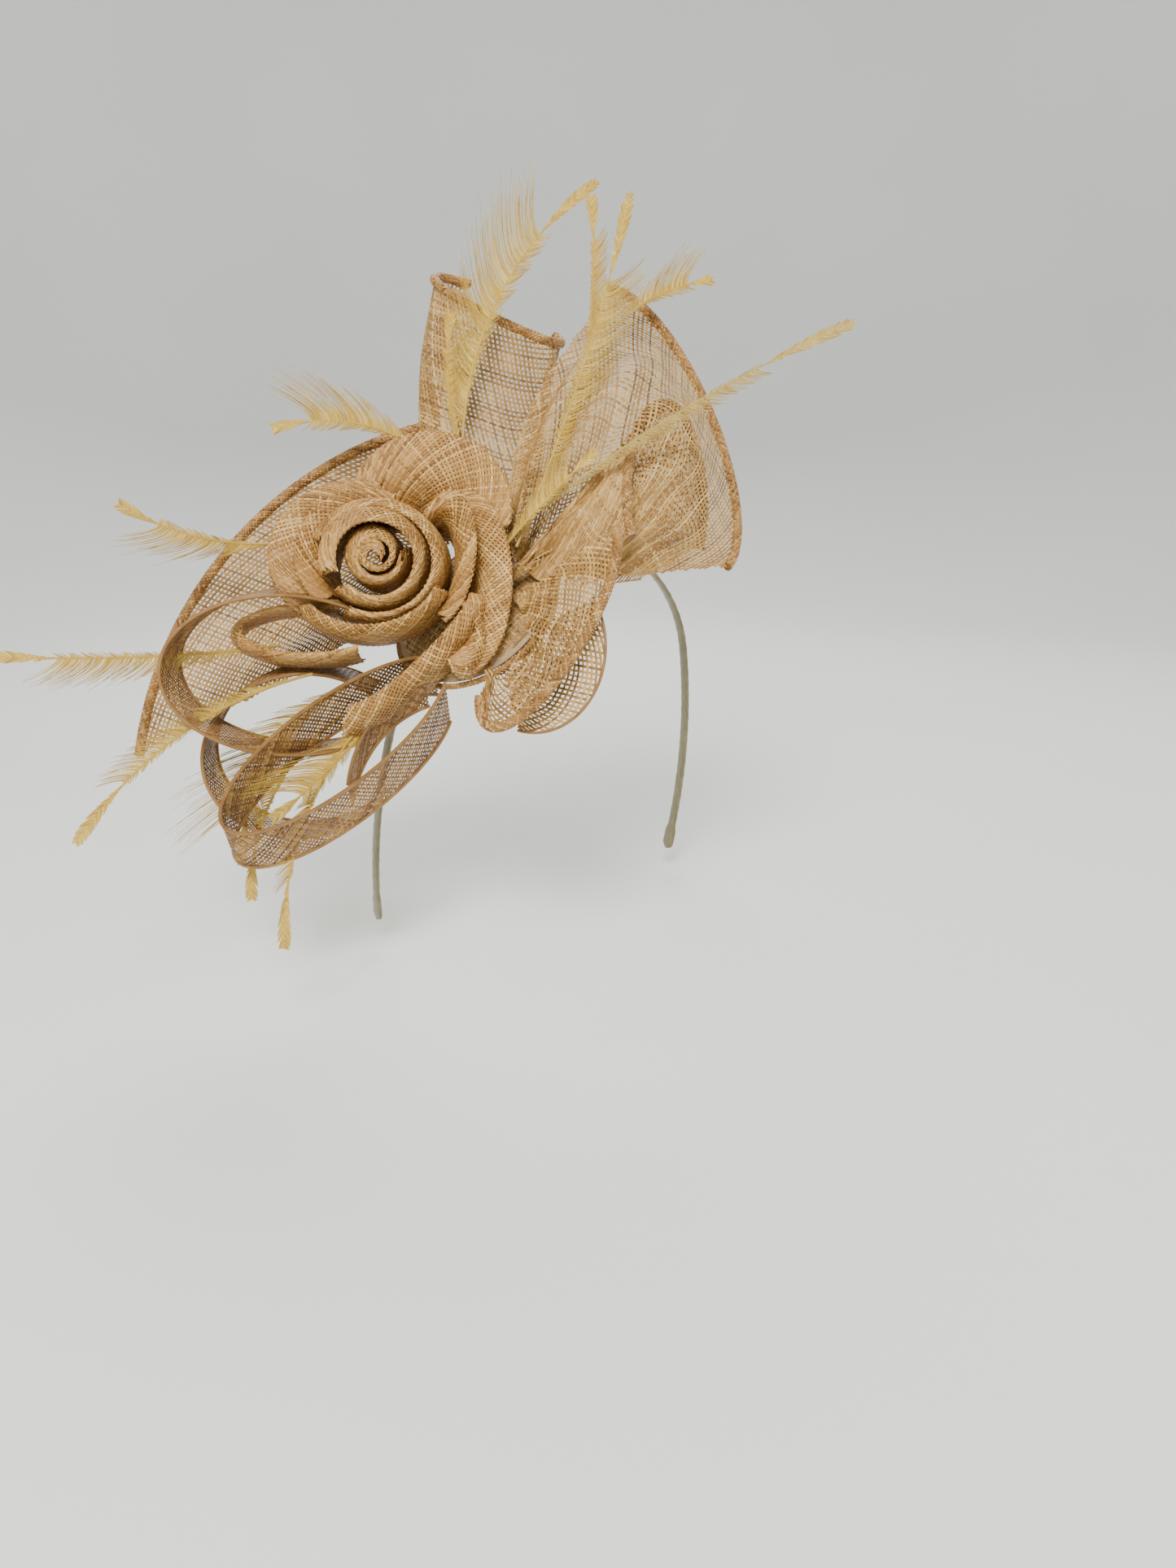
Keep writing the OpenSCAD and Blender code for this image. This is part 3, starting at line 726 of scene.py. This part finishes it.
# The rolled hem's woven skin and its core, as shares of its radius. The core's dark tone is painted
# shade for the inside of the roll.
HEM_SKIN, HEM_CORE = 0.93, 0.86
HEM_THREAD_W, HEM_THREAD_T = 0.85, 0.3


def make_hem(grid, node, seed):
    edge = grid[:, -1]
    inward = unit(grid[:, -3] - edge)
    build = Build()
    skin = tube_grid(edge, HEM_R * HEM_SKIN, 40, inward)
    weave(build, skin, HEM_PITCH, 45, seed, width=HEM_THREAD_W, thick=HEM_THREAD_T)
    # Painted shade: the core gets the darkest tone, so the gaps between the skin's threads read as the
    # shaded inside of the roll.
    cord_along(build, edge, HEM_R * HEM_CORE, sides=10, tone=0.05)
    hem = build.object(node + "_roll", hem_straw)
    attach(hem, "root")
    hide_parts(node)
    return hem


def make_edges(grid, node, columns, radius):
    """The firm edges of a strip, a thread along each of the grid's named columns."""
    build = Build()
    for column in columns:
        cord_along(build, grid[:, column], radius, tone=0.55)
    edges = build.object(node + "_edges", strip_straw)
    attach(edges, "root")
    return edges


# How many gathers each cloth has at its foot, and how deep they are.
GATHERS = {"brim": (5, 1.6), "lobe_left": (4, 1.2), "lobe_right": (6, 2.2), "fold_right": (6, 2.0),
           "lobe_lower": (4, 1.8), "lobe_under": (3, 1.2)}
# Degrees between each cloth's threads and its outer edge.
BIAS = {"brim": 8, "lobe_left": 12, "lobe_right": 38, "fold_right": 30,
        "lobe_lower": 20, "lobe_under": 15}


def make_cloth():
    for seed, (node, arcs) in enumerate(CLOTH.items(), 1):
        grid = settle(cloth_grid(arcs, GRID, GRID), node)
        count, depth = GATHERS[node]
        folded = pleated(grid, count, depth, phase=0.1 * seed)
        if node == "lobe_under":
            hems = [make_edges(folded, node, [-1], UNDER_EDGE_R)]
        else:
            hems = [make_hem(grid, node + "_hem", 40 + seed)]
        build = Build()
        weave(build, folded, PITCH, BIAS[node], seed)
        finish_piece(build, node, straw)


def make_loops():
    for seed, (node, shape) in enumerate(LOOPS.items(), 11):
        grid = settle(strip_grid(shape, 2 * GRID, 24), node)
        build = Build()
        weave(build, grid, STRIP_PITCH, 45, seed)
        edges = [make_edges(grid, node, [0, -1], STRIP_EDGE_R)]
        finish_piece(build, node, strip_straw)


def make_petals():
    rims = {"rose_heart": (heart_rim(2 * GRID), HEART_SPREAD)}
    rims.update({node: (petal_rim(row, GRID), row[7]) for node, row in PETALS.items()})
    for seed, (node, (rim, spread)) in enumerate(rims.items(), 21):
        grid = settle(petal_grid(rim, spread, 14), node)
        build = Build()
        weave(build, grid, PETAL_PITCH, 45, seed)
        finish_piece(build, node, petal_straw)


# ---- Feathers ---------------------------------------------------------------------------
BARB_SPACING, BARB_R, BARB_POINTS = 0.62, 0.34, 6
# The tip's narrow blade: where it starts, its half width and its fullness.
BLADE_FROM, BLADE_W, BLADE_FULL = 0.74, 2.6, 0.7
BARBS_FROM, BARBS_TO, CLUMPING, CLUMP_PULL = 0.08, 0.985, 0.22, 0.55
# How far barbs lean towards the tip, how flat they lie, and how much they thin.
LEAN, BLADE_LEAN, BLADE_WIDEN, THINNING, LIFT = 1.25, 1.7, 2.2, 0.6, 0.05


def on_shaft(shape, t):
    foot, heading, length, bend, lift = shape[:5]
    start, turn = math.radians(heading), math.radians(bend)
    now = start + turn * t
    r = length / turn
    across, up = r * (np.sin(now) - math.sin(start)), r * (math.cos(start) - np.cos(now))
    return np.array(foot, float) + np.stack([across, up, lift * t], -1)


def barbs(build, shape, sign, reach, rng):
    """Curved barbs along one side of the shaft, caught together in small clumps."""
    length = shape[2]
    count = int(length / BARB_SPACING)
    t = np.clip(np.linspace(BARBS_FROM, BARBS_TO, count) + rng.normal(0, 0.0015, count), 0, 1)
    clump = np.cumsum(rng.random(count) < CLUMPING)
    middle = np.array([t[clump == c].mean() for c in clump])
    aim = 0.45 * t + CLUMP_PULL * middle
    width = reach * np.sin(np.pi * t**VANE_PEAK) * (1 + 0.12 * rng.standard_normal(count))
    blade = t > BLADE_FROM
    left = np.clip((1 - t) / (1 - BLADE_FROM), 0, 1)
    width = np.where(blade, BLADE_W * np.sin(np.pi * left**BLADE_FULL), width)
    width = np.maximum(width, 0.5)
    at, near = place(on_shaft(shape, t)), place(on_shaft(shape, np.minimum(t + 0.01, 1.01)))
    ahead = unit(near - at)
    side = unit(np.cross(ahead, FACE)) * shape[6] * sign
    lift = rng.normal(0, LIFT, count)[:, None] * FACE
    s = np.linspace(0, 1, BARB_POINTS)[None, :, None]
    slide = ((aim - t) * length * MM)[:, None, None] * s**2
    lean = np.where(blade, BLADE_LEAN, LEAN)[:, None, None]
    out = width[:, None, None] * MM
    path = at[:, None] + side[:, None] * out * s + ahead[:, None] * (out * lean * s**1.5 + slide)
    path = path + lift[:, None] * out * s**2
    radius = (BARB_R * (1 - THINNING * np.linspace(0, 1, BARB_POINTS)) * MM)[None, :, None]
    wide = np.where(blade, BLADE_WIDEN, 1.0)[:, None, None]
    flat = np.broadcast_to(FACE, path.shape)
    ring = np.stack([path + ahead[:, None] * radius * wide, path + flat * radius * 0.6,
                     path - ahead[:, None] * radius * wide, path - flat * radius * 0.6], axis=2)
    if sign * shape[6] < 0:
        ring = ring[:, :, ::-1]
    tone = 0.5 + 0.2 * rng.standard_normal(count)
    build.rings(ring, np.clip(tone, 0, 1))


SHORT_SIDE = 0.22


def make_feathers():
    for number, shape in enumerate(FEATHERS, 1):
        rng = np.random.default_rng(60 + number)
        build = Build()
        t = np.linspace(0, 1, 40)
        cord_along(build, place(on_shaft(shape, t)), 0.55 * (1 - 0.85 * t) + 0.08, tone=0.4)
        barbs(build, shape, 1, shape[5], rng)
        barbs(build, shape, -1, shape[5] * SHORT_SIDE, rng)
        node = f"feather_{number}"
        golden = number == 14
        piece = build.object(node + "_barbs", feather_gold if golden else feather_cream)
        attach(piece, "root")
        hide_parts(node)


# ---- Band -------------------------------------------------------------------------------
WRAP_PITCH, WRAP_RIDGE, BAND_SIDES = 6.5, 0.16, 16
BLEND_REACH = 8.0
# Length over which a tip flares, its end's least half width squared, and how square the band is.
TIP_FLARE, LEAST_END, SQUARED = 4, 0.2, 0.6


def half_band(side):
    """The band from the crown's middle to one tip, side -1 for the wearer's right."""
    mid_r, step = BAND_INNER_R + BAND_T / 2, 0.7
    pivot = math.radians(PIVOT_FROM_TOP)
    crown = np.arange(0, pivot * mid_r, step)
    arm = np.arange(0, ARM_LEN, step)
    tip = np.arange(0, TIP_LEN - TIP_LAP, step)
    a, b = crown / mid_r, pivot + arm / ARM_R
    centre_x = (ARM_R - mid_r) * math.sin(pivot)
    centre_z = -BAND_INNER_R - (ARM_R - mid_r) * math.cos(pivot)
    x = np.concatenate([-mid_r * np.sin(a), centre_x - ARM_R * np.sin(b)])
    z = np.concatenate([mid_r * np.cos(a) - BAND_INNER_R, centre_z + ARM_R * np.cos(b)])
    last = pivot + ARM_LEN / ARM_R
    x = np.concatenate([x, x[-1] - np.cos(last) * (tip + step)])
    z = np.concatenate([z, z[-1] - np.sin(last) * (tip + step)])
    path = np.stack([-side * x, 0 * x, z], -1)
    run = np.arange(len(path)) * step
    t = unit(np.gradient(path, axis=0))
    wide = np.broadcast_to(np.array([0.0, 1.0, 0.0]), t.shape)
    outward = np.cross(wide, t)
    left = run[-1] - run
    half = BAND_W / 2 + (TIP_W - BAND_W) / 2 * np.clip((TIP_LEN - left) / TIP_FLARE, 0, 1)
    end = np.sqrt(np.maximum((TIP_W / 2) ** 2 - (TIP_W / 2 - left) ** 2, LEAST_END))
    half = np.where(left < TIP_W / 2, end, half)
    angle = np.arange(BAND_SIDES) * 2 * math.pi / BAND_SIDES
    squared = np.sign(np.cos(angle)) * np.abs(np.cos(angle)) ** SQUARED
    turn = run[:, None] / WRAP_PITCH + angle[None, :] / (2 * math.pi)
    ridge = WRAP_RIDGE * (1 - np.abs(2 * (turn % 1) - 1)) ** 3
    rings = (
        path[:, None]
        + wide[:, None] * (half[:, None] * squared[None, :] + ridge * np.cos(angle))[..., None]
        + outward[:, None] * ((BAND_T / 2 + ridge) * np.sin(angle)[None, :])[..., None]
    )
    if side > 0:
        rings = rings[:, ::-1]
    build = Build()
    build.rings(about_x(BAND_LEAN, rings)[None] * MM, 0.5)
    name = "band_left_half" if side > 0 else "band_right_half"
    piece = build.object(name, satin, smooth=True)
    pivot_z = mid_r * math.cos(pivot) - BAND_INNER_R
    pivot_at = about_x(BAND_LEAN, [side * mid_r * math.sin(pivot), 0, pivot_z])
    along_arm = about_x(BAND_LEAN, [side * math.cos(pivot), 0, -math.sin(pivot)])
    start, end = (pivot_at + k * BLEND_REACH * along_arm for k in (-1, 1))
    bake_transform(piece)
    return piece


def make_band():
    right, left = half_band(-1), half_band(1)
    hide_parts("band_crown", "band_arm_right", "band_tip_right")
    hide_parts("band_arm_left", "band_tip_left")


# ---- Base -------------------------------------------------------------------------------
OVERLAY_LIFT = 0.35


def make_base():
    """The dome's woven cover, its binding, and finishes for the CAD pieces that stay."""
    half = math.asin(BASE_R / BASE_INNER_R)
    a, b = np.meshgrid(np.linspace(-half, half, 80), np.linspace(-half, half, 80), indexing="ij")
    r = BASE_INNER_R + BASE_T + OVERLAY_LIFT
    reach = np.maximum(np.hypot(a, b), 1e-9)
    cap = np.stack([r * np.sin(reach) * a / reach, r * np.sin(reach) * b / reach, r * np.cos(reach)], -1)
    build = Build()
    weave(build, on_base(cap) * MM, PITCH, 0, 91, keep=lambda p: np.linalg.norm(
        p - SEAT * MM, axis=-1) < (BASE_R - 0.5) * MM)
    cover = build.object("base_cover", straw)
    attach(cover, "root")
    turn = np.linspace(0, 2 * math.pi, 260)
    tilt = half + math.radians(BINDING_PAST)
    ring_r = BASE_INNER_R + BASE_T / 2 + BINDING_LIFT
    wide, high = ring_r * math.sin(tilt), ring_r * math.cos(tilt)
    ring = on_base(np.stack([wide * np.cos(turn), wide * np.sin(turn), 0 * turn + high], -1)) * MM
    build = Build()
    inward = unit(ring.mean(axis=0) - ring)
    weave(build, tube_grid(ring, BINDING_R * 0.9, 30, inward), HEM_PITCH, 45, 92, width=0.8, thick=0.25)
    # Painted shade: a core in the darkest tone inside the binding's woven skin, so its gaps read as the
    # shaded inside of the roll.
    cord_along(build, ring, BINDING_R * 0.78, sides=8, tone=0.05)
    binding = build.object("base_binding_roll", hem_straw)
    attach(binding, "root")
    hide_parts("base_binding")
    finishes = {"base_dome": base_cloth, "band_patch": felt, "band_stitches": base_cloth}
    for node, material in finishes.items():
        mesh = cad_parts[node].data
        mesh.materials.clear()
        mesh.materials.append(material)


make_cloth()
make_loops()
make_petals()
make_feathers()
make_band()
make_base()
